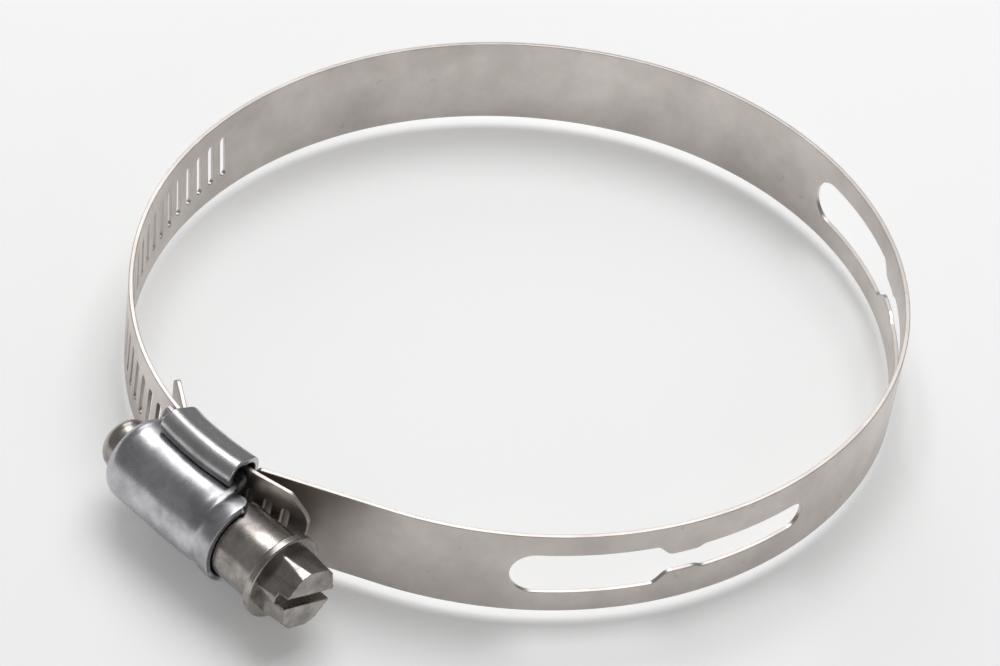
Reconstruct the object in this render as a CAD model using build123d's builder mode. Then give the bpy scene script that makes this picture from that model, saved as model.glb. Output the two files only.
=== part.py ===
"""Worm-drive band clamp: a slotted steel strip bent into a ring, closed by a screw in a saddle.

Row frame: the origin is the centre of the clamping bore at the middle of the band's width, +Z runs
along the bore, and the screw lies parallel to X on the -Y side, with its hex head towards +X.
The strip is laid out along its centreline. A station is a distance in mm along that line from the
start of the straight lead, and stations before the lead are negative.
"""
import os
from math import acos, atan, cos, degrees, pi, radians, sin, sqrt

from build123d import *

os.makedirs("parts", exist_ok=True)

# The strip
band_width = 12.7
band_thickness = 0.6
anchor_width = 10.0  # the fixed end is necked where the saddle holds it
link_gap = 0.05  # clearance across each flexing joint of the strip

# The ring, as tangent spans counterclockwise from the lead
bore_radius = 43.86
lead_heading = 27.27
lead_length = 16.0
front_sweep = 75.36
front_flattening = 6.51  # how much flatter than the bore the stretch after the lead is
bore_sweep = 110.0
back_sweep = 65.59
back_flattening = 8.72
slot_side_sweep = 48.15
channel_radius = 40.0  # the strip's centreline inside the saddle
channel_entry = -9.27  # heading where the strip goes under the screw
channel_run_in = 24.36  # sweep of the saddle's curve before the entry
channel_exit = 12.0
tail_length = 6.4
lead_inset = 1.86  # how far inside the anchored strip's curve the lead's line passes
anchor_bend_radius = 3.0

# The slots and the two keyhole windows
pitch = 2.54
slot_width = 1.15
slot_length = 6.9
slots_before_screw = 25  # slots between the first one and the one the thread holds
slot_phase = -1.15  # from the channel's bottom to the slot that the thread holds
slot_end_margin = 3.0
window_wide_height = 6.3
window_wide_length = 18.0
window_neck_height = 3.05
window_neck_length = 3.7
window_shoulder = 1.6
window_narrow_height = 4.0
window_length = 39.3
front_window_start = 31.4  # station of its round wide end
window_spacing = 26.4  # between the narrow ends of the two windows

# The joints where the strip flexes. Between slots they lie half a pitch from the nearest slot.
flex_before_window = 8.4
flex_after_window = 6.6
flex_before_slots = 4.35
slots_in_first_link = 7
slots_in_second_link = 8
plain_links = 4
link_names = [
    "band_anchor",
    "band_front_window",
    "band_back_window",
    "band_plain_1",
    "band_plain_2",
    "band_plain_3",
    "band_plain_4",
    "band_slotted_1",
    "band_slotted_2",
    "band_tail",
]

# The tongue and the tail
tongue_length = 7.9
tongue_heading = -32.0
tongue_bend_radius = 2.0
tongue_start = -7.9  # heading where the anchored strip leaves the saddle
corner_length = 3.0
corner_height = 2.4
tongue_corner = 1.5

# The saddle
strip_gap = 0.15  # between the sliding strip and the anchored one
saddle_sheet = 0.8
saddle_left = -7.5
saddle_right = 8.7
roll_radius = 2.1
roll_reach = 3.8
roll_height = 3.35  # of the roll's outer wall, over its free edge
roll_side_gap = 0.7  # between the strip's edges and the rolls' feet
lip_gap = 0.25  # between the rolls' free edges and the housing
housing_lift = 0.3  # the saddle's play lets it sit this much above the strip's middle

# The housing
screw_offset = 4.2  # from the strip's centreline to the screw's axis
housing_sheet = 0.8
barrel_clearance = 0.1
housing_left = 9.0
housing_right = 10.4
mouth_height = 4.1  # the housing is open towards the strip above this height over the axis
collar_height = 1.0  # and past the neck above this one
flange_gap = 0.3
flange_overhang = 0.8  # how far the flanges reach past the tube
neck_start = 6.9
neck_length = 1.1
neck_depth = 0.3
end_wall = 0.8
journal_clearance = 0.1

# The screw
barrel_radius = 4.7
core_radius = 3.45
thread_radius = 4.35
thread_crest = 0.42
thread_root = 0.85
thread_turns = 4.5
thread_lead_in = 1.75  # turns from the thread's start, on top, to its middle at the strip
tip_length = 3.2
tip_rounding = 1.8
flange_rim = 0.95  # how far the flange stands out from the barrel
flange_start = 16.7
flange_thickness = 1.1
flange_bevel = 0.4
hex_across_flats = 7.94
hex_length = 4.3
hex_chamfer = 0.7
hex_turn = -22.0
driver_slot_width = 1.4
driver_slot_depth = 1.5

# Radii of the strip's centreline
half_band = band_thickness / 2
bore_line_radius = bore_radius + half_band
front_radius = bore_line_radius + front_flattening
back_radius = bore_line_radius + back_flattening
anchor_radius = channel_radius - band_thickness - strip_gap

# Widths that follow from the strip and the screw
housing_bore = barrel_radius + barrel_clearance
housing_radius = housing_bore + housing_sheet
flange_width = housing_radius + flange_overhang
flange_radius = barrel_radius + flange_rim
roll_low = housing_radius + lip_gap
roll_outer_rise = roll_low + roll_height
roll_inner_rise = band_width / 2 + roll_side_gap


def direction(heading):
    """Unit vector along a heading in degrees, and the outward normal to its right."""
    angle = radians(heading)
    return Vector(cos(angle), sin(angle)), Vector(sin(angle), -cos(angle))


def arc_centre(point, heading, radius):
    """Centre of the arc that turns left from a point."""
    return point - direction(heading)[1] * radius


def arc_point(centre, heading, radius):
    """Point of a left-turning arc where it has a heading."""
    return centre + direction(heading)[1] * radius


def follow(start, heading, spans):
    """Lay spans end to end: each is (radius, sweep), or (0, length) for a straight one."""
    laid = []
    for radius, amount in spans:
        length = radians(amount) * radius if radius else amount
        laid.append((start, heading, radius, length))
        if radius:
            start = arc_point(arc_centre(start, heading, radius), heading + amount, radius)
            heading = heading + amount
        else:
            start = start + direction(heading)[0] * length
    return laid


# The ring closes where the lead's line passes the anchored strip's curve by lead_inset. All
# headings are fixed, so the position of the channel is linear in the slotted side's radius.
bore_entry = lead_heading + front_sweep
front_end = arc_point(Vector(0, 0), bore_entry, bore_line_radius)
lead_end = arc_point(arc_centre(front_end, bore_entry, front_radius), lead_heading, front_radius)
lead_start = lead_end - direction(lead_heading)[0] * lead_length


def channel_centre_for(slot_side_radius):
    """Centre of the channel's arc for a radius of the slotted side."""
    heading = bore_entry + bore_sweep
    point = arc_point(Vector(0, 0), heading, bore_line_radius)
    for radius, sweep in ((back_radius, back_sweep), (slot_side_radius, slot_side_sweep)):
        centre = arc_centre(point, heading, radius)
        heading = heading + sweep
        point = arc_point(centre, heading, radius)
    return arc_centre(point, heading, channel_radius)


def lead_distance(slot_side_radius):
    """Distance of the channel's centre from the lead's line."""
    return (lead_start - channel_centre_for(slot_side_radius)).dot(direction(lead_heading)[1])


wanted_distance = anchor_radius - lead_inset
unit_change = lead_distance(1.0) - lead_distance(0.0)
slot_side_radius = (wanted_distance - lead_distance(0.0)) / unit_change
channel_centre = channel_centre_for(slot_side_radius)

# The anchored end, from the tongue's tip to the lead
bend_turn = degrees(
    acos((wanted_distance - anchor_bend_radius) / (anchor_radius - anchor_bend_radius))
)
anchor_exit = lead_heading - bend_turn
anchor_run = radians(anchor_exit - tongue_start) * anchor_radius
bend_run = radians(bend_turn) * anchor_bend_radius
tongue_turn = tongue_start - tongue_heading
tongue_run = radians(tongue_turn) * tongue_bend_radius
anchor_start = arc_point(channel_centre, tongue_start, anchor_radius)
tongue_centre = arc_centre(anchor_start, tongue_start, tongue_bend_radius)
tongue_foot = arc_point(tongue_centre, tongue_heading, tongue_bend_radius)
tongue_tip = tongue_foot - direction(tongue_heading)[0] * tongue_length
bend_end = arc_point(
    arc_centre(
        arc_point(channel_centre, anchor_exit, anchor_radius), anchor_exit, anchor_bend_radius
    ),
    lead_heading,
    anchor_bend_radius,
)
lead_run = (lead_end - bend_end).length

ring = follow(
    tongue_tip,
    tongue_heading,
    [
        (0, tongue_length),
        (tongue_bend_radius, tongue_turn),
        (anchor_radius, anchor_exit - tongue_start),
        (anchor_bend_radius, bend_turn),
        (0, lead_run),
        (front_radius, front_sweep),
        (bore_line_radius, bore_sweep),
        (back_radius, back_sweep),
        (slot_side_radius, slot_side_sweep),
        (channel_radius, channel_run_in + channel_exit - channel_entry),
        (0, tail_length),
    ],
)

# Stations at the start of each span, with 0 at the start of the lead
first_station = lead_length - (tongue_length + tongue_run + anchor_run + bend_run + lead_run)
stations = [first_station]
for _, _, _, span_length in ring:
    stations.append(stations[-1] + span_length)
anchor_station = first_station + tongue_length + tongue_run + anchor_run + bend_run
tail_station = stations[-1]
channel_bottom = stations[-3] + radians(channel_run_in - channel_entry) * channel_radius


def place(station):
    """Point and heading of the centreline at a station."""
    index = max(i for i in range(len(ring)) if i == 0 or stations[i] <= station)
    start, heading, radius, _ = ring[index]
    distance = station - stations[index]
    if radius:
        end_heading = heading + degrees(distance / radius)
        return arc_point(arc_centre(start, heading, radius), end_heading, radius), end_heading
    return start + direction(heading)[0] * distance, heading


def beside(station, offset):
    """Point beside the centreline, offset outwards."""
    point, heading = place(station)
    return point + direction(heading)[1] * offset


def face_plane(station):
    """Plane on the strip's outer side: x along the strip, y along +Z, z outwards."""
    point, heading = place(station)
    along, outwards = direction(heading)
    return Plane(origin=point, x_dir=along, z_dir=outwards)


def strip_outline(first, last):
    """Closed plan outline of the strip between two stations."""
    between = [s for s in stations if first < s < last]
    stops = [first, *between, last]
    for a, b in zip(stops, stops[1:]):
        straight = abs(place(a + 0.01)[1] - place(b - 0.01)[1]) < 1e-6
        for side in (half_band, -half_band):
            if straight:
                Line(beside(a, side), beside(b, side))
            else:
                ThreePointArc(beside(a, side), beside((a + b) / 2, side), beside(b, side))
    for end in (first, last):
        Line(beside(end, half_band), beside(end, -half_band))


def window_stretch(start, way, first, last, half_heights, rounded):
    """Cut one stretch of a keyhole window, from and to distances from the window's round end.

    way is 1 where the window runs on along the strip and -1 where it runs back.
    """
    middle = (first + last) / 2
    left, right = way * (first - middle), way * (last - middle)
    with BuildSketch(face_plane(start + way * middle)) as stretch:
        with BuildLine():
            Polyline(
                (left, half_heights[0]),
                (right, half_heights[1]),
                (right, -half_heights[1]),
                (left, -half_heights[0]),
                close=True,
            )
        make_face()
        if rounded:
            with Locations((left if rounded < 0 else right, 0)):
                Circle(half_heights[0])
    extrude(stretch.sketch, amount=window_cut, both=True, mode=Mode.SUBTRACT)


def keyhole_window(start, way):
    """Cut a keyhole window: a wide part with a round end, shoulders, a neck and a narrow part."""
    wide, neck, narrow = (
        height / 2 for height in (window_wide_height, window_neck_height, window_narrow_height)
    )
    neck_from = window_wide_length + window_shoulder
    neck_end = neck_from + window_neck_length
    narrow_start = neck_end + window_shoulder / 2
    narrow_end = window_length - narrow
    window_stretch(start, way, wide, window_wide_length, (wide, wide), -1)
    window_stretch(start, way, window_wide_length, neck_from, (wide, neck), 0)
    window_stretch(start, way, neck_from, neck_end, (neck, neck), 0)
    window_stretch(start, way, neck_end, narrow_start, (neck, narrow), 0)
    window_stretch(start, way, narrow_start, narrow_end, (narrow, narrow), 1)


def clip_corners(station, way, width, length, height):
    """Clip the two corners at an end of the strip. way points along the strip, into it."""
    with BuildSketch(face_plane(station)) as corners:
        for side in (1, -1):
            with BuildLine():
                Polyline(
                    (-way, side * (width / 2 + 1)),
                    (way * length, side * (width / 2 + 1)),
                    (way * length, side * width / 2),
                    (0, side * (width / 2 - height)),
                    (-way, side * (width / 2 - height)),
                    close=True,
                )
            make_face()
    extrude(corners.sketch, amount=cut_depth, both=True, mode=Mode.SUBTRACT)


# Where the slots, the windows and the flexing joints are
first_slot = channel_bottom + slot_phase - slots_before_screw * pitch
back_window_end = front_window_start + 2 * window_length + window_spacing
plain_start = back_window_end + flex_after_window
plain_end = first_slot - flex_before_slots
flex_stations = [front_window_start - flex_before_window, (front_window_start + back_window_end) / 2]
for k in range(plain_links + 1):
    flex_stations.append(plain_start + k * (plain_end - plain_start) / plain_links)
for count in (slots_in_first_link, slots_in_first_link + slots_in_second_link):
    flex_stations.append(first_slot + (count - 0.5) * pitch)

# The strip, one node for each stretch between two flexing joints
slot_count = int((tail_station - slot_end_margin - first_slot) / pitch) + 1
slot_stations = [first_slot + k * pitch for k in range(slot_count)]
slot_lean = degrees(atan(pitch / (2 * pi * screw_offset)))
cut_depth = 2 * band_thickness
window_cut = 4 * band_thickness
link_ends = [first_station, *flex_stations, tail_station]

for name, first, last in zip(link_names, link_ends, link_ends[1:]):
    first_cut = first + (link_gap / 2 if first > first_station else 0)
    last_cut = last - (link_gap / 2 if last < tail_station else 0)
    slots = [s for s in slot_stations if first_cut < s < last_cut]
    stretches = [(first_cut, last_cut, band_width)]
    if name == "band_anchor":
        stretches = [(first, anchor_station, anchor_width), (anchor_station, last_cut, band_width)]
    with BuildPart() as link:
        for start, end, width in stretches:
            with BuildSketch(Plane.XY.offset(-width / 2)):
                with BuildLine():
                    strip_outline(start, end)
                make_face()
            extrude(amount=width)
        if slots:
            with BuildSketch(*[face_plane(s) for s in slots]):
                SlotOverall(slot_length, slot_width, rotation=90 - slot_lean)
            extrude(amount=cut_depth, both=True, mode=Mode.SUBTRACT)
        if name == "band_anchor":
            clip_corners(first_station, 1, anchor_width, tongue_corner, tongue_corner)
        if name == "band_front_window":
            keyhole_window(front_window_start, 1)
        if name == "band_back_window":
            keyhole_window(back_window_end, -1)
        if name == "band_tail":
            clip_corners(tail_station, -1, band_width, corner_length, corner_height)
    link.part.label = name
    export_step(link.part, f"parts/{name}.step")

# The saddle is one bent sheet: a plate under the strip whose two edges roll over the housing's
# flanges. Its section is drawn with x outwards from the channel's centre and y along +Z.
channel_axis = Axis((channel_centre.X, channel_centre.Y, 0), (0, 0, 1))
plate_inner = anchor_radius - half_band - saddle_sheet


def section_plane(heading):
    """Plane through the channel's axis: x outwards where the strip has a heading, y along +Z."""
    along, outwards = direction(heading)
    return Plane(
        origin=channel_centre + Vector(0, 0, housing_lift), x_dir=outwards, z_dir=along * -1
    )


with BuildPart() as saddle:
    with BuildSketch(section_plane(saddle_left)):
        with BuildLine():
            FilletPolyline(
                (channel_radius + roll_reach, roll_low),
                (channel_radius + roll_reach, roll_outer_rise),
                (plate_inner, roll_inner_rise),
                (plate_inner, -roll_inner_rise),
                (channel_radius + roll_reach, -roll_outer_rise),
                (channel_radius + roll_reach, -roll_low),
                radius=roll_radius,
            )
            offset(amount=saddle_sheet, side=Side.LEFT)
        make_face()
    revolve(axis=channel_axis, revolution_arc=saddle_right - saddle_left)
saddle.part.label = "saddle"
export_step(saddle.part, "parts/saddle.step")

# The housing is a sheet drawn over the screw. It is a tube along the screw with an end wall at
# the screw's tip, open towards the strip, and two flanges that lie in the saddle's rolls.
screw_y = channel_centre.Y - channel_radius - screw_offset
flange_inner = channel_radius + half_band + flange_gap


def across_screw(distance):
    """Plane across the screw's axis: x towards the strip, y along +Z, z towards the head."""
    return Plane(
        origin=(channel_centre.X + distance, screw_y, housing_lift),
        x_dir=(0, 1, 0),
        z_dir=(1, 0, 0),
    )


with BuildPart() as housing:
    with BuildSketch(across_screw(-housing_left)):
        Circle(housing_radius)
    extrude(amount=housing_left + housing_right)
    with BuildSketch(across_screw(neck_start)):
        Circle(housing_radius + 1)
        Circle(housing_radius - neck_depth, mode=Mode.SUBTRACT)
    extrude(amount=neck_length, mode=Mode.SUBTRACT)
    with BuildSketch(section_plane(saddle_left)):
        for side in (1, -1):
            with Locations((flange_inner + housing_sheet / 2, side * flange_width / 2)):
                Rectangle(housing_sheet, flange_width)
    revolve(axis=channel_axis, revolution_arc=saddle_right - saddle_left)
    with BuildSketch(across_screw(-housing_left + end_wall)):
        Circle(housing_bore)
    extrude(amount=housing_left + housing_right, mode=Mode.SUBTRACT)
    with BuildSketch(across_screw(-housing_left)):
        Circle(core_radius + journal_clearance)
    extrude(amount=end_wall, mode=Mode.SUBTRACT)
    with BuildSketch(Plane.XY.offset(-band_width)):
        with Locations((channel_centre.X, channel_centre.Y)):
            Circle(flange_inner)
    extrude(amount=2 * band_width, mode=Mode.SUBTRACT)
    with BuildSketch(across_screw(-housing_left)):
        with Locations((mouth_height, 0)):
            Rectangle(housing_radius, 2 * housing_radius, align=(Align.MIN, Align.CENTER))
    extrude(amount=housing_left + housing_right, mode=Mode.SUBTRACT)
    with BuildSketch(across_screw(neck_start)):
        with Locations((collar_height, 0)):
            Rectangle(housing_radius, 2 * housing_radius, align=(Align.MIN, Align.CENTER))
    extrude(amount=housing_right, mode=Mode.SUBTRACT)
housing.part.label = "housing"
export_step(housing.part, "parts/housing.step")

# The screw is one piece: rounded tip, worm thread, barrel, flange and slotted hex head.
screw_axis = Axis((channel_centre.X, screw_y, housing_lift), (1, 0, 0))
flange_end = flange_start + flange_thickness
head_end = flange_end + hex_length
tip_end = -housing_left - tip_length
thread_middle = channel_centre.X + slot_phase
thread_start = thread_middle - thread_lead_in * pitch

# The barrel is wider than the gap at the channel's bottom, so it starts where the strip has
# curved away from the screw far enough to clear it.
barrel_drop = barrel_radius + barrel_clearance + half_band - screw_offset
barrel_start = sqrt(channel_radius**2 - (channel_radius - barrel_drop) ** 2)

with BuildPart() as worm_screw:
    with BuildSketch(Plane(origin=across_screw(0).origin, x_dir=(1, 0, 0), z_dir=(0, 0, 1))):
        with BuildLine():
            Polyline(
                (tip_end, 0),
                (tip_end, core_radius - tip_rounding),
                (tip_end + tip_rounding, core_radius),
                (barrel_start, core_radius),
                (barrel_start, barrel_radius),
                (flange_start, barrel_radius),
                (flange_start, flange_radius - flange_bevel),
                (flange_start + flange_bevel, flange_radius),
                (flange_end - flange_bevel, flange_radius),
                (flange_end, flange_radius - flange_bevel),
                (flange_end, 0),
                close=True,
            )
        make_face()
    revolve(axis=screw_axis)
    with BuildSketch(across_screw(flange_end)):
        RegularPolygon(hex_across_flats / 2, 6, major_radius=False, rotation=hex_turn)
    extrude(amount=hex_length)
    chamfer(worm_screw.edges().group_by(Axis.X)[-1], hex_chamfer)
    with BuildSketch(across_screw(head_end)):
        Rectangle(3 * hex_across_flats, driver_slot_width, rotation=hex_turn)
    extrude(amount=-driver_slot_depth, mode=Mode.SUBTRACT)
    with BuildLine():
        thread_path = Helix(
            pitch,
            thread_turns * pitch,
            core_radius,
            center=(thread_start, screw_y, housing_lift),
            direction=(1, 0, 0),
        )
    with BuildSketch(Plane(origin=thread_path @ 0, x_dir=(0, 0, 1), z_dir=thread_path % 0)):
        with BuildLine():
            Polyline(
                (-0.3, -thread_root / 2),
                (0, -thread_root / 2),
                (thread_radius - core_radius, -thread_crest / 2),
                (thread_radius - core_radius, thread_crest / 2),
                (0, thread_root / 2),
                (-0.3, thread_root / 2),
                close=True,
            )
        make_face()
    sweep(path=thread_path, is_frenet=True)
worm_screw.part.label = "worm_screw"
export_step(worm_screw.part, "parts/worm_screw.step")
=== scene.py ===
"""Looks of a stainless worm-drive band clamp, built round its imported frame.

Shapes are worked out in millimetres in the frame's own axes and written to the meshes in metres.
"""
import bpy
import numpy as np
from mathutils import Matrix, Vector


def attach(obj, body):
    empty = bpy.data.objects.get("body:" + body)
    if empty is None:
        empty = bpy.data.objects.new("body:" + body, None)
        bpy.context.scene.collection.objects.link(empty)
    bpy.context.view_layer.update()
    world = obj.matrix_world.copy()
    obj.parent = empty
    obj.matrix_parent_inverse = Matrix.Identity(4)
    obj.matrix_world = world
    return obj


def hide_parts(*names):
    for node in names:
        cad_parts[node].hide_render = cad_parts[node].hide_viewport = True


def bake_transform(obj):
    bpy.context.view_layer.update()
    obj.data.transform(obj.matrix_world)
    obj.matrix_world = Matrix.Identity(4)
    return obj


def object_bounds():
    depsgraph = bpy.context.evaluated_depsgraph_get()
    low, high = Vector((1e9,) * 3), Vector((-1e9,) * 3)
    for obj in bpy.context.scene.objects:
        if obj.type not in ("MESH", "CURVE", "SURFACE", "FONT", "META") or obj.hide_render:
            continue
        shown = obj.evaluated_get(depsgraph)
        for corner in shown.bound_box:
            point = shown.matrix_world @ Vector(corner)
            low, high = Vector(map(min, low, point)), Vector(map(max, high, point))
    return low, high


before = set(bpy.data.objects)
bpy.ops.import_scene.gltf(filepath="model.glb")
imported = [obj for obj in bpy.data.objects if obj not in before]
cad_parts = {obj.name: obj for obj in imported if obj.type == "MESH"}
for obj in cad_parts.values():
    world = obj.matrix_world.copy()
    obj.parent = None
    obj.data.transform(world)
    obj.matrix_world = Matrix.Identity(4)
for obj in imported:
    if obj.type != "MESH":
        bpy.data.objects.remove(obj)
cad_box = [list(corner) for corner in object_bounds()]

# ---------------------------------------------------------------------------------------------
# The band: one long strip of cold-rolled stainless steel, slit to width, so its faces are
# bright and softly matte with rolling lines along it, and its sheared edges shine. It is held at
# one end under the screw, runs once round the ring and slides back under the screw as the tail.
band_width = 12.7
band_thickness = 0.6
sheared_edge = 0.13  # rounding of every cut edge of the strip
anchor_width = 10.0
bore_line_radius = 43.86 + band_thickness / 2
front_radius = bore_line_radius + 6.51
back_radius = bore_line_radius + 8.72
channel_radius = 40.0
strip_gap = 0.15  # between the sliding strip and the anchored one under it
anchor_radius = channel_radius - band_thickness - strip_gap
lead_heading, front_sweep, bore_sweep, back_sweep, slot_side_sweep = 27.27, 75.36, 110.0, 65.59, 48.15
lead_length = 16.0
channel_entry, channel_run_in, channel_exit = -9.27, 24.36, 12.0
channel_to_bottom = channel_run_in - channel_entry
channel_sweep = channel_to_bottom + channel_exit
screw_offset = 4.2  # from the strip's centreline to the screw's axis
lead_inset = 1.86
anchor_bend_radius = 3.0
tongue_start, tongue_heading, tongue_bend_radius, tongue_length = -7.9, -32.0, 2.0, 7.9
tail_length = 6.4


def unit(vectors):
    """Vectors at length 1."""
    return vectors / np.linalg.norm(vectors, axis=-1, keepdims=True)


def turned_by(heading):
    """Unit vectors along headings in degrees, and their normals to the right (out of the ring)."""
    angle = np.radians(heading)
    along = np.stack([np.cos(angle), np.sin(angle)], -1)
    return along, np.stack([along[..., 1], -along[..., 0]], -1)


def arc_end(start, heading, radius, sweep):
    """Where a left-turning arc ends: back to its centre, then out along the new normal."""
    return start + radius * (turned_by(heading + sweep)[1] - turned_by(heading)[1])


bore_entry = lead_heading + front_sweep
front_end = bore_line_radius * turned_by(bore_entry)[1]
lead_end = arc_end(front_end, bore_entry, front_radius, -front_sweep)
lead_start = lead_end - lead_length * turned_by(lead_heading)[0]


def channel_centre_for(slot_side_radius):
    """Centre of the curved channel under the screw, for a radius of the slotted side."""
    heading = bore_entry + bore_sweep
    point = bore_line_radius * turned_by(heading)[1]
    for radius, sweep in ((back_radius, back_sweep), (slot_side_radius, slot_side_sweep)):
        point = arc_end(point, heading, radius, sweep)
        heading += sweep
    return point - channel_radius * turned_by(heading)[1]


def lead_distance(slot_side_radius):
    """Distance of that centre from the line of the lead."""
    return (lead_start - channel_centre_for(slot_side_radius)) @ turned_by(lead_heading)[1]


# The ring closes where the lead passes lead_inset inside the anchored strip's curve. The distance
# is linear in the slotted side's radius, so two tries give it.
wanted = anchor_radius - lead_inset
slot_side_radius = (wanted - lead_distance(0.0)) / (lead_distance(1.0) - lead_distance(0.0))
channel_centre = channel_centre_for(slot_side_radius)
bend_turn = np.degrees(np.arccos((wanted - anchor_bend_radius) / (anchor_radius - anchor_bend_radius)))
anchor_exit = lead_heading - bend_turn
anchor_point = channel_centre + anchor_radius * turned_by(tongue_start)[1]
tongue_turn = tongue_start - tongue_heading
tongue_foot = arc_end(anchor_point, tongue_start, tongue_bend_radius, -tongue_turn)
tongue_tip = tongue_foot - tongue_length * turned_by(tongue_heading)[0]
anchor_end = channel_centre + anchor_radius * turned_by(anchor_exit)[1]
bend_end = arc_end(anchor_end, anchor_exit, anchor_bend_radius, bend_turn)
lead_run = np.linalg.norm(lead_end - bend_end)

# Each span is (curvature per mm, length); the stations run along them with 0 at the lead's start.
span_shapes = [
    (0, tongue_length),
    (1 / tongue_bend_radius, np.radians(tongue_turn) * tongue_bend_radius),
    (1 / anchor_radius, np.radians(anchor_exit - tongue_start) * anchor_radius),
    (1 / anchor_bend_radius, np.radians(bend_turn) * anchor_bend_radius),
    (0, lead_run),
    (1 / front_radius, np.radians(front_sweep) * front_radius),
    (1 / bore_line_radius, np.radians(bore_sweep) * bore_line_radius),
    (1 / back_radius, np.radians(back_sweep) * back_radius),
    (1 / slot_side_radius, np.radians(slot_side_sweep) * slot_side_radius),
    (1 / channel_radius, np.radians(channel_sweep) * channel_radius),
    (0, tail_length),
]
curvature, span_length = np.array(span_shapes).T
tongue_station = lead_length - span_length[:5].sum()
span_station = tongue_station + np.r_[0, np.cumsum(span_length)]
anchor_station = span_station[4]
tail_station = span_station[-1]
channel_bottom = span_station[9] + np.radians(channel_to_bottom) * channel_radius


def line_at(station, table):
    """Centreline at stations: each span starts from the table and turns by curvature x distance."""
    span = np.clip(np.searchsorted(span_station, station, "right") - 1, 0, len(table) - 1)
    x, y, heading = table[span].T
    run, bend = station - span_station[span], curvature[span]
    new_heading = heading + bend * run
    safe = np.where(bend == 0, 1, bend)
    across = np.where(bend == 0, np.cos(heading) * run, (np.sin(new_heading) - np.sin(heading)) / safe)
    up = np.where(bend == 0, np.sin(heading) * run, (np.cos(heading) - np.cos(new_heading)) / safe)
    return np.stack([x + across, y + up], -1), new_heading


span_table = np.zeros((len(curvature), 3))
span_table[0] = [*tongue_tip, np.radians(tongue_heading)]
for span in range(1, len(curvature)):
    end, end_heading = line_at(np.array([span_station[span] - 1e-9]), span_table)
    span_table[span] = [*end[0], end_heading[0]]


def strip_frame(station, height):
    """Point of the strip's middle surface at a station and a height, with its own directions:
    along the strip, up, and outwards."""
    station, height = np.broadcast_arrays(np.asarray(station, float), height)
    middle, heading = line_at(station.ravel(), span_table)
    middle, heading = middle.reshape(*station.shape, 2), heading.reshape(station.shape)
    zero = np.zeros_like(heading)
    along = np.stack([np.cos(heading), np.sin(heading), zero], -1)
    outwards = np.stack([np.sin(heading), -np.cos(heading), zero], -1)
    up = np.broadcast_to([0.0, 0.0, 1.0], along.shape)
    return np.concatenate([middle, height[..., None]], -1), along, up, outwards


def edge_profile(thickness, rounding, steps=3):
    """Section of a sheet's rounded edge, from one face to the other: reach past the face, height
    through the sheet, and the normal's two parts."""
    quarter = np.linspace(0, np.pi / 2, steps + 1)
    reach = np.r_[rounding * np.sin(quarter), rounding * np.sin(quarter[::-1])]
    level = thickness / 2 - rounding + rounding * np.cos(quarter)
    height = np.r_[level, -level[::-1]]
    out = np.r_[np.sin(quarter), np.sin(quarter[::-1])]
    through = np.r_[np.cos(quarter), -np.cos(quarter[::-1])]
    return reach, height, out, through


def sheet_faces(middle, normal, thickness, chart):
    """The two faces of a sheet: its middle surface moved half a thickness to each side."""
    half = normal * thickness / 2
    return [(middle + half, normal, chart), (middle - half, -normal, chart)]


def sheet_edge(middle, normal, outward, thickness, rounding, chart):
    """The cut edge of a sheet: the edge profile carried along a border of its middle surface."""
    reach, height, out, through = (part[:, None] for part in edge_profile(thickness, rounding))
    middle, normal, outward = (part[:, None, :] for part in (middle, normal, outward))
    points = middle + outward * reach + normal * height
    charted = np.repeat(chart[:, None, :], len(reach), 1)
    return points, outward * out + normal * through, charted


def make_piece(name, patches, material):
    """One mesh from grids of (points in mm, normals, chart): grids are quilted into quads, points
    that coincide become one, quads face along their normals, and the normals shade it."""
    points, normals, charts, quads, first = [], [], [], [], 0
    for point, normal, chart in patches:
        rows, columns = point.shape[:2]
        corner = first + np.arange(rows * columns).reshape(rows, columns)
        quads.append(np.stack([corner[:-1, :-1], corner[1:, :-1], corner[1:, 1:], corner[:-1, 1:]], -1))
        points.append(point.reshape(-1, 3))
        normals.append(normal.reshape(-1, 3))
        charts.append(chart.reshape(-1, 2))
        first += rows * columns
    point, normal, chart = np.concatenate(points), np.concatenate(normals), np.concatenate(charts)
    quad = np.concatenate([q.reshape(-1, 4) for q in quads])
    size = np.cross(point[quad[:, 2]] - point[quad[:, 0]], point[quad[:, 3]] - point[quad[:, 1]])
    facing = np.einsum("ij,ij->i", size, normal[quad].sum(1))
    quad[facing < 0] = quad[facing < 0][:, ::-1]
    weld = 1e-4  # mm; points nearer than this are one point
    _, keep, merged = np.unique(np.round(point / weld), axis=0, return_index=True, return_inverse=True)
    merged = merged.ravel()
    chart_corner = chart[quad]
    quad = merged[quad]
    faces, charted = [], []
    distinct = np.array([len(set(q)) for q in quad.tolist()])
    for corners, uv, count in zip(quad.tolist(), chart_corner, distinct):
        if count == 4:
            faces.append(corners)
            charted.append(uv)
        elif count == 3:
            kept = [i for i in range(4) if corners[i] != corners[i - 1]]
            faces.append([corners[i] for i in kept])
            charted.append(uv[kept])
    mesh = bpy.data.meshes.new(name)
    mesh.from_pydata(point[keep] * 0.001, [], faces)
    layer = mesh.uv_layers.new(name="chart")
    layer.data.foreach_set("uv", np.concatenate(charted).astype(np.float32).ravel())
    mesh.polygons.foreach_set("use_smooth", np.ones(len(faces), bool))
    mesh.normals_split_custom_set_from_vertices(unit(normal[keep]).astype(np.float32))
    mesh.materials.append(material)
    piece = bpy.data.objects.new(name, mesh)
    bpy.context.scene.collection.objects.link(piece)
    return piece


def linear(colour):
    """Linear RGBA of an sRGB hex colour."""
    value = np.array([int(colour[i:i + 2], 16) / 255 for i in (1, 3, 5)])
    return [*np.where(value <= 0.04045, value / 12.92, ((value + 0.055) / 1.055) ** 2.4), 1.0]


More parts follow.
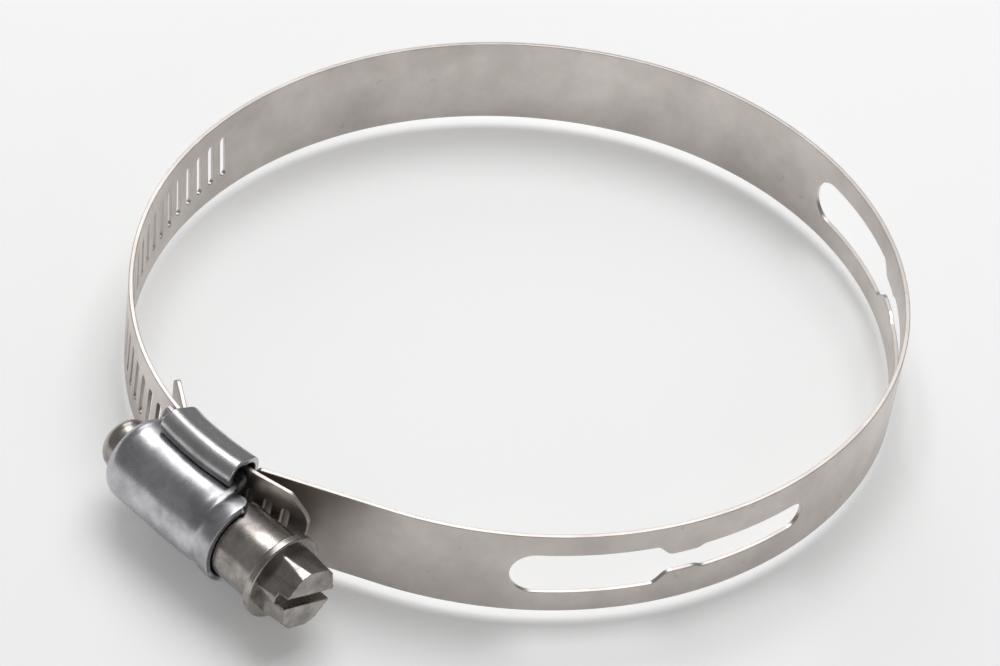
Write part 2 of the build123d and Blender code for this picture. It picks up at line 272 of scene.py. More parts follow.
def node(tree, kind, settings=None, **links):
    """Add one shader node with its settings; links are values or other nodes' outputs by input."""
    made = tree.nodes.new(kind)
    for key, value in (settings or {}).items():
        setattr(made, key, value)
    for key, value in links.items():
        socket = made.inputs[int(key[1:])] if key[1:].isdigit() else made.inputs[key.replace("_", " ")]
        if isinstance(value, bpy.types.NodeSocket):
            tree.links.new(value, socket)
        else:
            socket.default_value = value
    return made


def steel(name, light, dark, roughness, cloud, grain, lines=None, relief=0.25, dents=0.3, stain=0.4):
    """Stainless steel: a metal whose colour drifts between two greys in clouds, with grain or, where
    lines gives their stretch on the piece's chart, rolling lines in its roughness and height, a few
    dark stains, and the slow dents of handled sheet. cloud and grain are patterns per metre."""
    material = bpy.data.materials.new(name)
    material.use_nodes = True
    tree = material.node_tree
    tree.nodes.clear()
    place = node(tree, "ShaderNodeTexCoord")
    solid = place.outputs["Object"]
    clouds = node(tree, "ShaderNodeTexNoise", Vector=solid, Scale=cloud, Detail=5.0, Roughness=0.65)
    fine = node(tree, "ShaderNodeTexNoise", Vector=solid, Scale=grain, Detail=5.0, Roughness=0.7)
    streak = fine
    if lines:
        stretched = node(tree, "ShaderNodeMapping", Vector=place.outputs["UV"], Scale=(*lines, 1.0))
        streak = node(tree, "ShaderNodeTexNoise", Vector=stretched.outputs[0], Scale=1.0, Detail=6.0,
                      Roughness=0.65)
    patch = node(tree, "ShaderNodeMapRange", Value=clouds.outputs[0], From_Min=0.34, From_Max=0.68)
    cloudy = node(tree, "ShaderNodeMix", {"data_type": "RGBA"}, _0=patch.outputs[0], _6=linear(light),
                  _7=linear(dark))
    spots = node(tree, "ShaderNodeTexNoise", Vector=solid, Scale=420.0, Detail=3.0, Roughness=0.6)
    spot = node(tree, "ShaderNodeMapRange", Value=spots.outputs[0], From_Min=0.69, From_Max=0.78,
                To_Max=stain)
    stained = node(tree, "ShaderNodeMix", {"data_type": "RGBA"}, _0=spot.outputs[0],
                   _6=cloudy.outputs[2], _7=linear("#453f3b"))
    dull = node(tree, "ShaderNodeMapRange", Value=clouds.outputs[0], From_Min=0.3, From_Max=0.7,
                To_Min=roughness - 0.05, To_Max=roughness + 0.07)
    rough = node(tree, "ShaderNodeMath", {"operation": "MULTIPLY_ADD"}, _0=streak.outputs[0], _1=0.16,
                 _2=dull.outputs[0])
    line_bump = node(tree, "ShaderNodeBump", Strength=relief, Distance=0.00002,
                     Height=streak.outputs[0])
    slow = node(tree, "ShaderNodeTexNoise", Vector=solid, Scale=150.0, Detail=2.0, Roughness=0.5)
    dent_bump = node(tree, "ShaderNodeBump", Strength=dents, Distance=0.0004, Height=slow.outputs[0],
                     Normal=line_bump.outputs[0])
    shader = node(tree, "ShaderNodeBsdfPrincipled", Base_Color=stained.outputs[2], Metallic=1.0,
                  Roughness=rough.outputs[0], Normal=dent_bump.outputs[0])
    output = node(tree, "ShaderNodeOutputMaterial")
    tree.links.new(shader.outputs[0], output.inputs[0])
    return material


# Rolling leaves lines along the strip, a fraction of a millimetre apart, in a soft bright matte.
rolled_strip = steel("rolled_stainless_strip", "#d8d1cc", "#b6afaa", 0.27, 45.0, 3000.0, (0.05, 7.0),
                     relief=0.22, dents=0.12, stain=0.35)

# Where the holes of the strip are
pitch = 2.54
slot_width, slot_length = 1.15, 6.9
slot_phase = -1.15  # from the channel's bottom to the slot that the thread holds
slots_before_it = 25
end_margin = 3.0  # no slot stands nearer than this to the tail's end
first_slot = channel_bottom + slot_phase - slots_before_it * pitch
slot_count = int((tail_station - end_margin - first_slot) / pitch) + 1
slot_lean = pitch / (2 * np.pi * screw_offset)  # the slots lean as the screw's thread does
lean_run_in = 6.0
window_start = 31.4
window_length, window_gap = 39.3, 26.4
window_wide, window_neck, window_narrow = 3.15, 1.525, 2.0  # half widths
neck_slope, narrow_slope = (17.7, 19.9), (23.1, 24.4)  # where the sides slope, from the wide end
back_window_end = window_start + 2 * window_length + window_gap
inset = sheared_edge
face_height = band_width / 2 - inset
tongue_clip, tongue_rounding = 1.5, 0.5
clip_length, clip_height, nose_radius = 3.0, 2.4, 0.9
tongue_blend, tongue_margin = 1.2, 1.4  # the tongue widens over the last of its run
row_count = 31
rows = np.linspace(-1, 1, row_count)


def slope(value, start, end):
    """0 before start, 1 after end, and a smooth slope between."""
    share = np.clip((value - start) / (end - start), 0, 1)
    return share * share * (3 - 2 * share)


def lean_at(station):
    """How far the slotted stretch is sheared: none before the slots, then as the slots lean."""
    return slot_lean * slope(station, first_slot - lean_run_in, first_slot - pitch / 2)


def strip_chart(station, height):
    """Point, directions and chart of the strip, sheared where the slots lean."""
    station, height = np.broadcast_arrays(np.asarray(station, float), height)
    skewed = station + lean_at(station) * height
    middle, along, up, outwards = strip_frame(skewed, height)
    return middle, along, up, outwards, np.stack([skewed, height], -1)


def strip_faces(station, height):
    """Both faces of the strip over a grid of stations and heights."""
    middle, _, _, outwards, chart = strip_chart(station, height)
    return sheet_faces(middle, outwards, band_thickness, chart)


def strip_edge(station, height, side):
    """A cut edge of the strip along a border, with side as its outward direction (along, up)."""
    middle, along, up, outwards, chart = strip_chart(station, height)
    outward = along * side[:, :1] + up * side[:, 1:]
    return sheet_edge(middle, outwards, outward, band_thickness, inset, chart)


def rounded_corner(distance, radius):
    """How much a corner takes off at a distance from the end."""
    inside = np.clip(radius - distance, 0, radius)
    return radius - np.sqrt(radius ** 2 - inside ** 2)


def reach_at(station):
    """Half height of the strip's flat face at stations. The fixed end is a narrower tongue with
    clipped corners, and the tail's free end has clipped corners and a blunt, rounded nose."""
    from_tip = station - tongue_station - inset
    to_end = tail_station - inset - station
    tongue = (anchor_width / 2 - inset - tongue_clip * np.clip(1 - from_tip / tongue_clip, 0, 1)
              - rounded_corner(from_tip, tongue_rounding))
    full = (face_height - clip_height * np.clip(1 - to_end / clip_length, 0, 1)
            - rounded_corner(to_end, nose_radius))
    return tongue + (full - tongue) * slope(station, anchor_station - tongue_blend, anchor_station)


def outer_edges(columns):
    """The two sheared edges of the strip along columns, facing square to its outline."""
    reach = reach_at(columns)
    side = unit(np.stack([-np.gradient(reach, columns), np.ones_like(reach)], -1))
    return [strip_edge(columns, reach, side), strip_edge(columns, -reach, side * [1, -1])]


def plain_stretch(columns):
    """A stretch of strip without holes."""
    return strip_faces(columns[:, None], reach_at(columns)[:, None] * rows) + outer_edges(columns)


def end_wall(station, way):
    """The cut end of the strip. way is 1 at the tail's end and -1 at the tongue's."""
    height = reach_at(station) * rows
    side = np.repeat([[float(way), 0.0]], row_count, 0)
    return strip_edge(np.full(row_count, station), height, side)


def closed_end(station):
    """A flat wall where one piece of strip meets the next."""
    middle, along, _, outwards, chart = strip_chart(np.full(row_count, station), face_height * rows)
    reach, height, _, _ = edge_profile(band_thickness, inset)
    half = outwards * band_thickness / 2
    points = np.stack([middle + half, middle - half], 1)
    cap = [(points, np.stack([along, along], 1), np.stack([chart, chart], 1))]
    for sign in (1, -1):
        lip_middle, lip_along, up, out, lip_chart = strip_chart(
            np.array([station]), np.array([sign * face_height]))
        lip = lip_middle + up * sign * reach[:, None] + out * height[:, None]
        count = len(reach) // 2
        halves = np.stack([lip[:count], lip[::-1][:count]], 1)
        directions = np.broadcast_to(lip_along, halves.shape)
        cap.append((halves, directions, np.broadcast_to(lip_chart, (*halves.shape[:2], 2))))
    return cap


def holed_stretch(columns, hole_of):
    """A stretch of strip round one hole. The grid runs from the hole's outline, where hole_of puts
    each point of the stretch's rectangular border, out to that border."""
    first, last = columns[0], columns[-1]
    reach = reach_at(columns)
    border = np.concatenate([
        np.stack([np.full(row_count, last), reach[-1] * rows], -1)[:-1],
        np.stack([columns[::-1], reach[::-1]], -1)[:-1],
        np.stack([np.full(row_count, first), reach[0] * rows[::-1]], -1)[:-1],
        np.stack([columns, -reach], -1)[:-1],
    ])
    border = np.concatenate([border, border[:1]])
    hole = hole_of(border)
    share = np.linspace(0, 1, 5)[:, None, None]
    grid = hole * (1 - share) + border * share
    patches = strip_faces(grid[..., 0], grid[..., 1])
    ring = hole[:-1]
    tangent = np.roll(ring, -1, 0) - np.roll(ring, 1, 0)
    side = unit(np.stack([-tangent[:, 1], tangent[:, 0]], -1))
    side = np.concatenate([side, side[:1]])
    patches.append(strip_edge(hole[:, 0], hole[:, 1], side))
    return patches + outer_edges(columns)


def slot_outline(station):
    """Outline of a slot: a round-ended bar standing across the strip."""
    half, end = slot_width / 2 + inset, (slot_length - slot_width) / 2

    def outline(border):
        centre = np.stack([np.full(len(border), station), np.clip(border[:, 1], -end, end)], -1)
        away = border - centre
        return centre + away * half / np.linalg.norm(away, axis=1, keepdims=True)
    return outline


def window_outline(start, way):
    """Outline of a keyhole window from its round wide end: a wide part, soft shoulders, a neck and
    a narrow part with a round end. way is 1 if it runs on along the strip and -1 if back."""
    wide, neck, narrow = window_wide + inset, window_neck + inset, window_narrow + inset
    wide_centre, narrow_centre = window_wide, window_length - window_narrow

    def outline(border):
        run, height = way * (border[:, 0] - start), border[:, 1]
        middle = np.clip(run, wide_centre, narrow_centre)
        opening = wide + (neck - wide) * slope(run, *neck_slope)
        opening = opening + (narrow - neck) * slope(run, *narrow_slope)
        ends = np.where(run < wide_centre, wide, narrow)
        away = np.stack([run - middle, height], -1)
        distance = np.linalg.norm(away, axis=1)
        round_part = np.stack([middle + away[:, 0] * ends / distance, height * ends / distance], -1)
        flat_part = np.stack([run, np.sign(height) * opening], -1)
        inside = (run > wide_centre) & (run < narrow_centre)
        found = np.where(inside[:, None], flat_part, round_part)
        return np.stack([start + way * found[:, 0], found[:, 1]], -1)
    return outline


def steps_between(first, last, step):
    """Evenly spaced stations from first to last, about one step apart."""
    return np.linspace(first, last, max(2, int(round((last - first) / step)) + 1))


window_margin = 0.75
windows = [
    (window_start, 1, window_start - window_margin, window_start + window_length + window_margin),
    (back_window_end, -1, back_window_end - window_length - window_margin,
     back_window_end + window_margin),
]
slots = first_slot + pitch * np.arange(slot_count)
holes = [(low, high, window_outline(start, way), 0.45) for start, way, low, high in windows]
holes += [(s - pitch / 2, s + pitch / 2, slot_outline(s), pitch / 4) for s in slots]


def strip_run(first, last):
    """All of the strip between two stations: stretches with holes, and plain ones between."""
    patches, reached = [], first
    for low, high, outline, step in holes:
        if first - 1e-6 < low and high < last + 1e-6:
            if low - reached > 1e-6:
                patches += plain_stretch(steps_between(reached, low, 1.0))
            patches += holed_stretch(steps_between(low, high, step), outline)
            reached = high
    if last - reached > 1e-6:
        patches += plain_stretch(steps_between(reached, last, 1.0))
    return patches


# Stations of the columns of the tongue and the tail, closer together where they are rounded
quarter_turn = np.linspace(0, np.pi / 2, 9)
tongue_end = tongue_station + inset
tongue_columns = np.r_[
    tongue_end + tongue_rounding * (1 - np.cos(quarter_turn)),
    steps_between(tongue_end + tongue_rounding, anchor_station - tongue_margin, 0.5)[1:],
    steps_between(anchor_station - tongue_margin, anchor_station, 0.2)[1:],
]
last_hole = slots[-1] + pitch / 2
tail_end = tail_station - inset
tail_columns = np.r_[
    steps_between(last_hole, tail_end - nose_radius, 0.3)[:-1],
    tail_end - nose_radius * (1 - np.sin(quarter_turn)),
]

# The strip is cut into pieces between the joints, one piece round each joint. Cuts lie where the strip
# follows one body: bend is the half length round a joint over which the strip would bend, and the two ends
# of that span are worked out for each piece but not used.
flex_before_window, flex_after_window, flex_before_slots = 8.4, 6.6, 4.35
plain_start = back_window_end + flex_after_window
plain_end = first_slot - flex_before_slots
joint_stations = np.r_[
    window_start - flex_before_window,
    (window_start + back_window_end) / 2,
    np.linspace(plain_start, plain_end, 5),
    first_slot + np.array([6.5, 14.5]) * pitch,
]
plain_cuts = (joint_stations[2:6] + joint_stations[3:7]) / 2
cuts = np.r_[anchor_station, window_start - window_margin, back_window_end + window_margin, plain_cuts,
             first_slot + np.array([2.5, 10.5]) * pitch, last_hole]
bends = [7.0, 11.0, 5.5, 9.0, 9.0, 9.0, 9.0, 9.0, 9.0]
strip_nodes = [["band_anchor", "band_front_window"], ["band_back_window"], ["band_plain_1"],
               ["band_plain_2"], ["band_plain_3"], ["band_plain_4"], ["band_slotted_1"],
               ["band_slotted_2"], ["band_tail"]]
for index, (joint, bend, replaced) in enumerate(zip(joint_stations, bends, strip_nodes)):
    patches = strip_run(cuts[index], cuts[index + 1])
    if index == 0:
        patches += plain_stretch(tongue_columns)
        patches.append(end_wall(tongue_columns[0], -1))
    else:
        patches += closed_end(cuts[index])
    if index == len(bends) - 1:
        patches += plain_stretch(tail_columns)
        patches.append(end_wall(tail_columns[-1], 1))
    else:
        patches += closed_end(cuts[index + 1])
    piece = make_piece(f"strip_{index + 1}", patches, rolled_strip)
    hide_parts(*replaced)
    ends = strip_frame(np.array([joint - bend, joint + bend]), np.zeros(2))[0] * 0.001
    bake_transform(piece)


# ---------------------------------------------------------------------------------------------
# The saddle: one blank of stainless sheet, bent into a cradle under the strip. Its two long edges
# are rolled over the housing's flanges, and it follows the curve of the ring.
sheet = 0.8
sheet_rounding = 0.22
saddle_left, saddle_right = -7.5, 8.7
roll_reach = 3.8
roll_radius, foot_radius = 1.8, 2.1
part_lift = 0.3  # the saddle, housing and screw sit this much above the strip's middle
plate_inner = anchor_radius - band_thickness / 2 - sheet


def filleted(corners, radii, step):
    """A line through corners, rounded by arcs at the inner ones, sampled about step apart."""
    corners = np.array(corners, float)
    points = [corners[:1]]
    for before, corner, after, radius in zip(corners, corners[1:], corners[2:], radii):
        back_way = (before - corner) / np.linalg.norm(before - corner)
        on_way = (after - corner) / np.linalg.norm(after - corner)
        half = np.arccos(back_way @ on_way) / 2
        middle = corner + (back_way + on_way) / np.linalg.norm(back_way + on_way) * radius / np.sin(half)
        start = corner + back_way * radius / np.tan(half) - middle
        finish = corner + on_way * radius / np.tan(half) - middle
        turn = np.arctan2(start[0] * finish[1] - start[1] * finish[0], start @ finish)
        angle = np.linspace(0, turn, max(4, int(abs(turn) * radius / step) + 2))[:, None]
        points.append(middle + np.cos(angle) * start + np.sin(angle) * [-start[1], start[0]])
    points.append(corners[-1:])
    line = np.concatenate(points)
    keep = np.r_[True, np.linalg.norm(np.diff(line, axis=0), axis=1) > 1e-6]
    line = line[keep]
    filled = [line[:1]]
    for a, b in zip(line, line[1:]):
        count = max(1, int(np.linalg.norm(b - a) / (2.5 * step)))
        filled.append(a + (b - a) * (np.arange(1, count + 1) / count)[:, None])
    return np.concatenate(filled)


def sheet_piece(middle, thickness, rounding, chart):
    """A sheet from a grid of its middle surface. Its normals are the crossed slopes of the grid,
    and its edge runs once round the grid, fanning at the four corners."""
    down, over = np.gradient(middle, axis=0), np.gradient(middle, axis=1)
    normal = unit(np.cross(down, over))
    down, over = unit(down), unit(over)
    sides = [
        (middle[0], normal[0], -down[0], chart[0]),
        (middle[:, -1], normal[:, -1], over[:, -1], chart[:, -1]),
        (middle[-1, ::-1], normal[-1, ::-1], down[-1, ::-1], chart[-1, ::-1]),
        (middle[::-1, 0], normal[::-1, 0], -over[::-1, 0], chart[::-1, 0]),
    ]
    border = []
    for this, following in zip(sides, sides[1:] + sides[:1]):
        border.append(this)
        corner = unit(this[2][-1] + following[2][0])[None]
        border.append((this[0][-1:], this[1][-1:], corner, this[3][-1:]))
    loop = [np.concatenate(parts) for parts in zip(*border)]
    points, normals, outward, charted = [np.concatenate([part, part[:1]]) for part in loop]
    patches = sheet_faces(middle, normal, thickness, chart)
    patches.append(sheet_edge(points, normals, outward, thickness, rounding, charted))
    return patches


def waves(points, seed, size, count=10):
    """A small smooth unevenness over points: a sum of count sine waves about size mm long."""
    random = np.random.default_rng(seed)
    direction = unit(random.normal(size=(count, 3)))
    direction = direction * random.uniform(0.6, 1.6, (count, 1)) * 2 * np.pi / size
    phase = random.uniform(0, 2 * np.pi, count)
    return np.sin(points @ direction.T + phase).mean(-1)


# The section through the channel's axis, as (distance out, height), and its sweep round that axis.
roll_outer = channel_radius + roll_reach
lip, shoulder = np.array([roll_outer, 5.85]), np.array([roll_outer + 0.1, 7.58])
crown, foot = np.array([roll_outer - 1.9, 8.43]), np.array([plate_inner, 7.05])
upper_half = [lip, shoulder, crown, foot]
corner_radii = [roll_radius, roll_radius, foot_radius]
section = filleted(upper_half + [point * [1, -1] for point in upper_half[::-1]],
                   corner_radii + corner_radii[::-1], 0.2)
slopes = unit(np.gradient(section, axis=0))
section = section + np.stack([-slopes[:, 1], slopes[:, 0]], -1) * sheet / 2
sweep_inset = np.degrees(sheet_rounding / channel_radius)
sweep = np.linspace(saddle_left + sweep_inset, saddle_right - sweep_inset, 49)
out_way = turned_by(sweep)[1]
saddle_middle = np.concatenate([
    channel_centre + section[:, None, :1] * out_way[None],
    np.broadcast_to(section[:, None, 1:] + part_lift, (len(section), len(sweep), 1)),
], -1)
run = np.r_[0, np.cumsum(np.linalg.norm(np.diff(section, axis=0), axis=1))]
saddle_chart = np.stack(np.broadcast_arrays(run[:, None], np.radians(sweep)[None] * channel_radius), -1)
saddle_normal = unit(np.cross(np.gradient(saddle_middle, axis=0), np.gradient(saddle_middle, axis=1)))
saddle_middle = saddle_middle + saddle_normal * 0.05 * waves(saddle_middle, 3, 7.0)[..., None]

# Tumbled after bending, the sheet is satin, with small rub marks and darker patches.
bent_sheet = steel("satin_bent_stainless", "#cfced0", "#a9a8aa", 0.2, 170.0, 1500.0, relief=0.3, dents=0.3)
saddle_piece = make_piece(
    "saddle_sheet", sheet_piece(saddle_middle, sheet, sheet_rounding, saddle_chart), bent_sheet)
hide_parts("saddle")
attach(saddle_piece, "root")

# ---------------------------------------------------------------------------------------------
# The housing: a cup of stainless sheet drawn over the screw. One end closes round the screw's tip,
# the other is necked and ends in a plain rim, and two flanges lie in the saddle's rolls.
barrel_radius, core_radius = 4.7, 3.45
clearance = 0.1  # round the screw in the housing
flange_gap = 0.3
dome_radius = barrel_radius + clearance + sheet / 2
housing_left, housing_right = -9.0, 10.4
screw_line = np.array([channel_centre[0], channel_centre[1] - channel_radius - screw_offset, part_lift])
flange_line = channel_radius + band_thickness / 2 + flange_gap + sheet / 2
flange_width = 6.4
collar_height = 1.0  # the collar's wall stops this far past the screw's axis
collar_corner = 1.3  # rounding of the collar's corner at the rim
cup_corner = 1.7  # rounding where the dome closes round the tip
tip_hole = core_radius + clearance
neck_middle, neck_depth, neck_half = 7.3, 0.32, 0.75
rim_flare = 0.12

# Along the housing: the end wall from the hole outwards, the rounded corner, then the dome.
wall_radius = np.linspace(tip_hole + sheet_rounding, dome_radius - cup_corner, 4)[:-1]
corner_angle = np.linspace(0, np.pi / 2, 13)
housing_start = housing_left + sheet / 2
length = np.r_[
    np.full(len(wall_radius), housing_start),
    housing_start + cup_corner * (1 - np.cos(corner_angle)),
    steps_between(housing_start + cup_corner, housing_right - sheet_rounding, 0.25)[1:],
]
radius = np.r_[
    wall_radius,
    dome_radius - cup_corner * (1 - np.sin(corner_angle)),
    np.full(len(length) - len(wall_radius) - len(corner_angle), dome_radius),
]
radius = radius - neck_depth * np.exp(-((length - neck_middle) / neck_half) ** 2)
radius = radius + rim_flare * slope(length, neck_middle + 0.5, housing_right)

# Across it, half a section runs from the top of the dome round to where it folds out, through the
# fold and along the flange. Past the neck there is no fold: the collar's wall just ends.
fold = 0.7  # radius where the dome turns out into the flange
held = 1 - slope(length, 6.2, 7.2)  # 1 where the saddle holds the flange, 0 in the collar
flange_height = channel_radius + screw_offset - np.sqrt(flange_line ** 2 - length ** 2)
flange_height = flange_height - 0.2 * (dome_radius - radius)  # it drops where the cup closes
fold_side = np.sqrt((radius + fold) ** 2 - (flange_height - fold) ** 2)
meeting = np.arctan2(fold_side, fold - flange_height)
meeting = meeting * held + np.arccos(-collar_height / dome_radius) * (1 - held)
from_rim = housing_right - sheet_rounding - length
meeting = meeting - rounded_corner(from_rim, collar_corner) / dome_radius
flange_share = slope(length, housing_left + 0.3, housing_left + 1.6)
flange_share = flange_share * (1 - slope(length, 5.0, 6.2))
least_run = 0.1
flange_run = least_run + (flange_width - sheet_rounding - fold_side - least_run) * flange_share
dome_angle = meeting[:, None] * np.linspace(0, 1, 40)
dome = np.stack([-np.cos(dome_angle), np.sin(dome_angle)], -1) * radius[:, None, None]
fold_angle = meeting[:, None] * (0.08 + 0.92 * held)[:, None] * np.linspace(0, 1, 9)[1:]
fold_centre = (radius + fold)[:, None] * np.stack([-np.cos(meeting), np.sin(meeting)], -1)
inward = -np.stack([-np.cos(meeting), np.sin(meeting)], -1)[:, None]
sideways = np.stack([np.sin(meeting), np.cos(meeting)], -1)[:, None]
fold_arc = fold_centre[:, None] + fold * (np.cos(fold_angle)[..., None] * inward
                                          + np.sin(fold_angle)[..., None] * sideways)
onward = (np.cos(fold_angle[:, -1:])[..., None] * sideways - np.sin(fold_angle[:, -1:])[..., None] * inward)
flange = fold_arc[:, -1:] + onward * (flange_run[:, None] * np.linspace(0, 1, 7)[1:])[..., None]
half_section = np.concatenate([dome, fold_arc, flange], 1)
whole = np.concatenate([half_section[:, :0:-1] * [1, -1], half_section], 1)
housing_middle = np.stack(np.broadcast_arrays(
    screw_line[0] + length[:, None], screw_line[1] + whole[..., 0], screw_line[2] + whole[..., 1]), -1)
housing_normal = unit(np.cross(np.gradient(housing_middle, axis=0), np.gradient(housing_middle, axis=1)))
housing_middle = housing_middle + housing_normal * 0.09 * waves(housing_middle, 11, 8.0)[..., None]
around = np.r_[-np.arange(half_section.shape[1])[:0:-1], np.arange(half_section.shape[1])] * 0.35
housing_chart = np.stack(np.broadcast_arrays(around[None], length[:, None]), -1)

# Deep drawing and tumbling leave it satin and slightly dented, with grey patches.
drawn_sheet = steel("satin_drawn_stainless", "#cbcacd", "#8f8e91", 0.2, 190.0, 1300.0, relief=0.35,
                    dents=0.4, stain=0.6)
housing_piece = make_piece(
    "housing_shell", sheet_piece(housing_middle, sheet, sheet_rounding, housing_chart), drawn_sheet)
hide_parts("housing")
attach(housing_piece, "root")

# ---------------------------------------------------------------------------------------------
# The screw: cold-headed and thread-rolled in one piece from stainless wire. A rounded tip, the worm
# thread, a smooth barrel and a flange are round; the head is a hexagon with a wide driver slot.
flange_radius = 5.65
barrel_drop = barrel_radius + clearance + band_thickness / 2 - screw_offset
barrel_start = np.sqrt(channel_radius ** 2 - (channel_radius - barrel_drop) ** 2)
flange_start, flange_end = 16.7, 17.8
tip_end = housing_left - 3.2
hex_flats, hex_length, hex_turn = 7.94, 4.3, -22.0
driver_slot, slot_depth = 1.4, 1.5


def round_the_screw(profile, angle):
    """A profile of (length, radius) turned about the screw's axis, with its normals."""
    slopes = unit(np.gradient(profile, axis=0))
    normal_run, normal_out = -slopes[:, 1], slopes[:, 0]
    ring = np.stack([np.zeros_like(angle), np.cos(angle), np.sin(angle)], -1)
    axis = np.array([1.0, 0.0, 0.0])
    points = profile[:, None, :1] * axis + profile[:, None, 1:] * ring + screw_line
    normals = normal_run[:, None, None] * axis + normal_out[:, None, None] * ring
    chart = np.stack(np.broadcast_arrays(angle[None] * 4.0, profile[:, :1]), -1)
    return points, normals, chart


shaft = filleted(
    [(tip_end, 0), (tip_end, core_radius), (barrel_start, core_radius), (barrel_start, barrel_radius),
     (flange_start, barrel_radius), (flange_start, flange_radius), (flange_end, flange_radius),
     (flange_end, 0)],
    [2.1, 0.2, 0.35, 0.25, 0.3, 0.25], 0.1)
full_turn = np.linspace(0, 2 * np.pi, 145)

# The worm's ridge climbs one pitch a turn and fades out at both ends.
thread_turns, thread_lead_in = 4.5, 1.75
ridge_turn = np.linspace(0, thread_turns, 289)
sunk_root, crest, fade_turns = 0.3, 0.9, 0.15
ridge = filleted([(-0.5, -sunk_root), (-0.21, crest), (0.21, crest), (0.5, -sunk_root)],
                 [0.12, 0.12], 0.05)
fade = slope(ridge_turn, 0, fade_turns)
fade = fade * (1 - slope(ridge_turn, thread_turns - fade_turns, thread_turns))
ridge_angle = (np.pi / 2 - ridge_turn * 2 * np.pi)[:, None]
ridge_height = core_radius - sunk_root + (ridge[None, :, 1] + sunk_root) * fade[:, None]
ridge_run = slot_phase + (ridge_turn[:, None] - thread_lead_in) * pitch + ridge[None, :, 0]
ridge_points = screw_line + np.stack([
    ridge_run, ridge_height * np.cos(ridge_angle), ridge_height * np.sin(ridge_angle)], -1)
ridge_normal = unit(np.cross(np.gradient(ridge_points, axis=0), np.gradient(ridge_points, axis=1)))
away = ridge_points - screw_line
away[..., 0] = 0
if (ridge_normal[144, len(ridge) // 2] @ away[144, len(ridge) // 2]) < 0:
    ridge_normal = -ridge_normal
ridge_chart = np.stack(np.broadcast_arrays(ridge_turn[:, None] * 25, ridge[None, :, 0]), -1)


def softened_block(centre, planes, softness, columns=121, levels=81):
    """A convex block with soft edges. From its centre, along each direction, the surface lies where
    the planes' shares, (normal . direction) / distance, have a power mean of 1."""
    normal = np.array([p[0] for p in planes], float)
    distance = np.array([p[1] for p in planes], float)
    turn_angle = np.linspace(0, 2 * np.pi, columns)
    rise_angle = np.linspace(-np.pi / 2, np.pi / 2, levels)[:, None]
    level = np.cos(rise_angle)
    way = np.stack(np.broadcast_arrays(
        np.sin(rise_angle), level * np.cos(turn_angle), level * np.sin(turn_angle)), -1)
    share = np.clip(way @ normal.T / distance, 1e-9, None)
    reach = (share ** softness).sum(-1) ** (-1 / softness)
    weight = (share ** (softness - 1)) / distance
    points = centre + way * reach[..., None]
    chart = np.stack(np.broadcast_arrays(turn_angle[None] * 4, rise_angle * 4), -1)
    return points, unit(weight @ normal), chart


def across(angle):
    """Unit vector square to the screw at an angle from +Y towards +Z."""
    return np.array([0.0, np.cos(np.radians(angle)), np.sin(np.radians(angle))])


# The hexagon's corners are cut by facets that widen towards its end, and the slot runs from one
# corner to the opposite one. The foot and the two crowns beside the slot are separate blocks.
flats = [across(hex_turn + 30 + 60 * k) for k in range(6)]
corners = [across(hex_turn + 60 * k) for k in range(6)]
end_way = np.array([1.0, 0.0, 0.0])
corner_cut = 0.4  # how much is off a corner at the hexagon's end
sunk = 0.2  # how far the blocks run into each other


def head_block(start, end, slot_side):
    """A block of the hexagon between two heights over the flange, on one side of the slot or, with
    slot_side 0, right across."""
    slot_way = across(hex_turn + 90) * slot_side
    out = (driver_slot + hex_flats) / 4 * abs(slot_side)
    centre = end_way * (start + end) / 2 + slot_way * out
    planes = [(end_way, (end - start) / 2), (-end_way, (end - start) / 2)]
    if slot_side:
        planes.append((-slot_way, out - driver_slot / 2))
    facets = [(flat, hex_flats / 2) for flat in flats]
    lean = corner_cut / hex_length
    for corner in corners:
        facets.append((unit(corner + lean * end_way), hex_flats / np.sqrt(3) / np.sqrt(1 + lean ** 2)))
    for facet, distance in facets:
        gap = distance - facet @ centre
        if facet @ slot_way > -0.1:
            planes.append((facet, gap))
    return softened_block(screw_line + end_way * flange_end + centre, planes, 55)


foot_height = hex_length - slot_depth
head_blocks = [head_block(-sunk, foot_height, 0)]
head_blocks += [head_block(foot_height - sunk, hex_length, side) for side in (1, -1)]

# Heading and rolling leave it brighter and yellower than the sheets, with oily dark patches.
headed_steel = steel("headed_stainless", "#c2bcb6", "#7d7875", 0.17, 230.0, 1700.0, relief=0.35,
                     dents=0.3, stain=0.8)
screw_piece = make_piece(
    "screw", [round_the_screw(shaft, full_turn), (ridge_points, ridge_normal, ridge_chart), *head_blocks],
    headed_steel)
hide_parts("worm_screw")
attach(screw_piece, "screw")


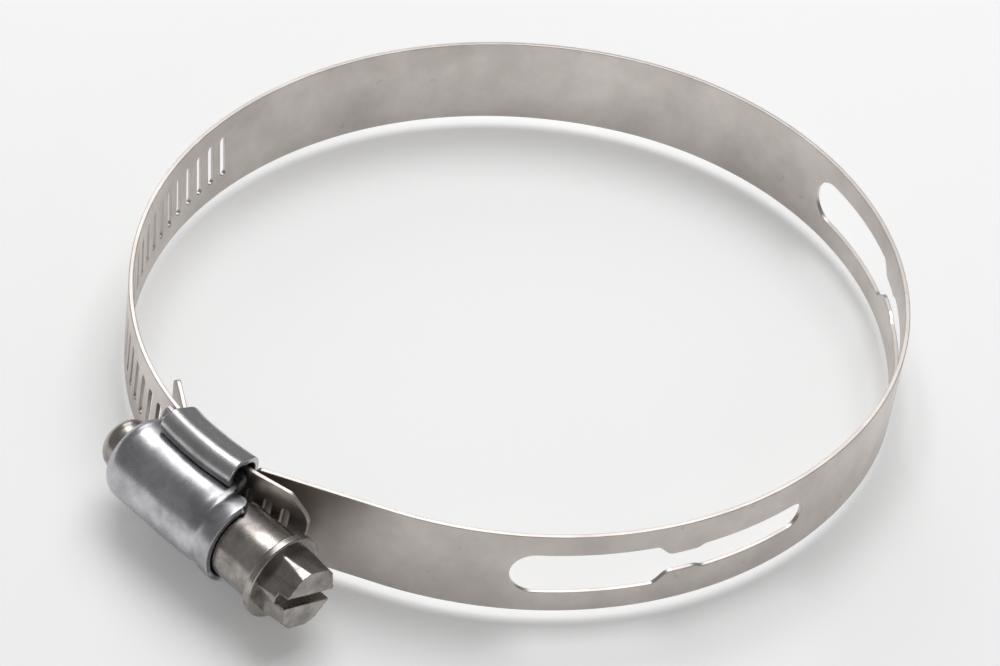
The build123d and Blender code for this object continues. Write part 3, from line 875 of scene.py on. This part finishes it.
# ---------------------------------------------------------------------------------------------
# The floor is plain and pale, and large soft lamps stand round the clamp.
floor_level = cad_box[0][2]
paper = bpy.data.materials.new("white_paper")
paper.use_nodes = True
paper_shader = paper.node_tree.nodes["Principled BSDF"]
paper_shader.inputs["Base Color"].default_value = linear("#f7f7f7")
paper_shader.inputs["Roughness"].default_value = 0.9
paper_shader.inputs["Emission Color"].default_value = linear("#ffffff")
paper_shader.inputs["Emission Strength"].default_value = 0.14
bpy.ops.mesh.primitive_plane_add(size=6, location=(0, 0, floor_level))
floor = bpy.context.object
floor.name = "floor"
floor.data.materials.append(paper)


def soft_lamp(name, direction, distance, size, power):
    """A square soft lamp aimed at the clamp from a direction."""
    lamp = bpy.data.lights.new(name, "AREA")
    lamp.shape = "SQUARE"
    lamp.size = size
    lamp.energy = power
    holder = bpy.data.objects.new(name, lamp)
    bpy.context.scene.collection.objects.link(holder)
    holder.location = unit(np.array(direction, float)) * distance
    holder.rotation_euler = holder.location.to_track_quat("Z", "Y").to_euler()


soft_lamp("overhead", (-0.25, 0.3, 1), 0.9, 0.7, 5.2)
soft_lamp("back_left", (-0.9, 0.5, 0.5), 0.9, 0.35, 0.9)
soft_lamp("front_right", (1, -0.3, 0.4), 0.9, 0.3, 0.35)

world = bpy.data.worlds.new("studio")
bpy.context.scene.world = world
world.use_nodes = True
world.node_tree.nodes["Background"].inputs["Color"].default_value = linear("#ffffff")
world.node_tree.nodes["Background"].inputs["Strength"].default_value = 0.24

# The camera looks down on the clamp from the front right, turned a little about its own axis.
camera_azimuth, camera_elevation, camera_roll = 39.6, 42.9, 8.58
camera_distance = 0.51423
look_at = np.array([-0.00515, -0.00414, -0.00635])
azimuth, elevation, roll = np.radians([camera_azimuth, camera_elevation, camera_roll])
back = np.array([np.sin(azimuth) * np.cos(elevation), -np.cos(azimuth) * np.cos(elevation),
                 np.sin(elevation)])
level = unit(np.cross([0, 0, 1], back))
upright = np.cross(back, level)
right = np.cos(roll) * level + np.sin(roll) * upright
top = -np.sin(roll) * level + np.cos(roll) * upright
camera_data = bpy.data.cameras.new("camera")
camera_data.lens = 144
camera_data.sensor_width = 36
camera = bpy.data.objects.new("camera", camera_data)
bpy.context.scene.collection.objects.link(camera)
camera.location = look_at + back * camera_distance
camera.rotation_euler = Matrix(np.stack([right, top, back], 1).tolist()).to_euler()
bpy.context.scene.camera = camera
bpy.context.scene.view_settings.view_transform = "Standard"

bpy.context.view_layer.update()
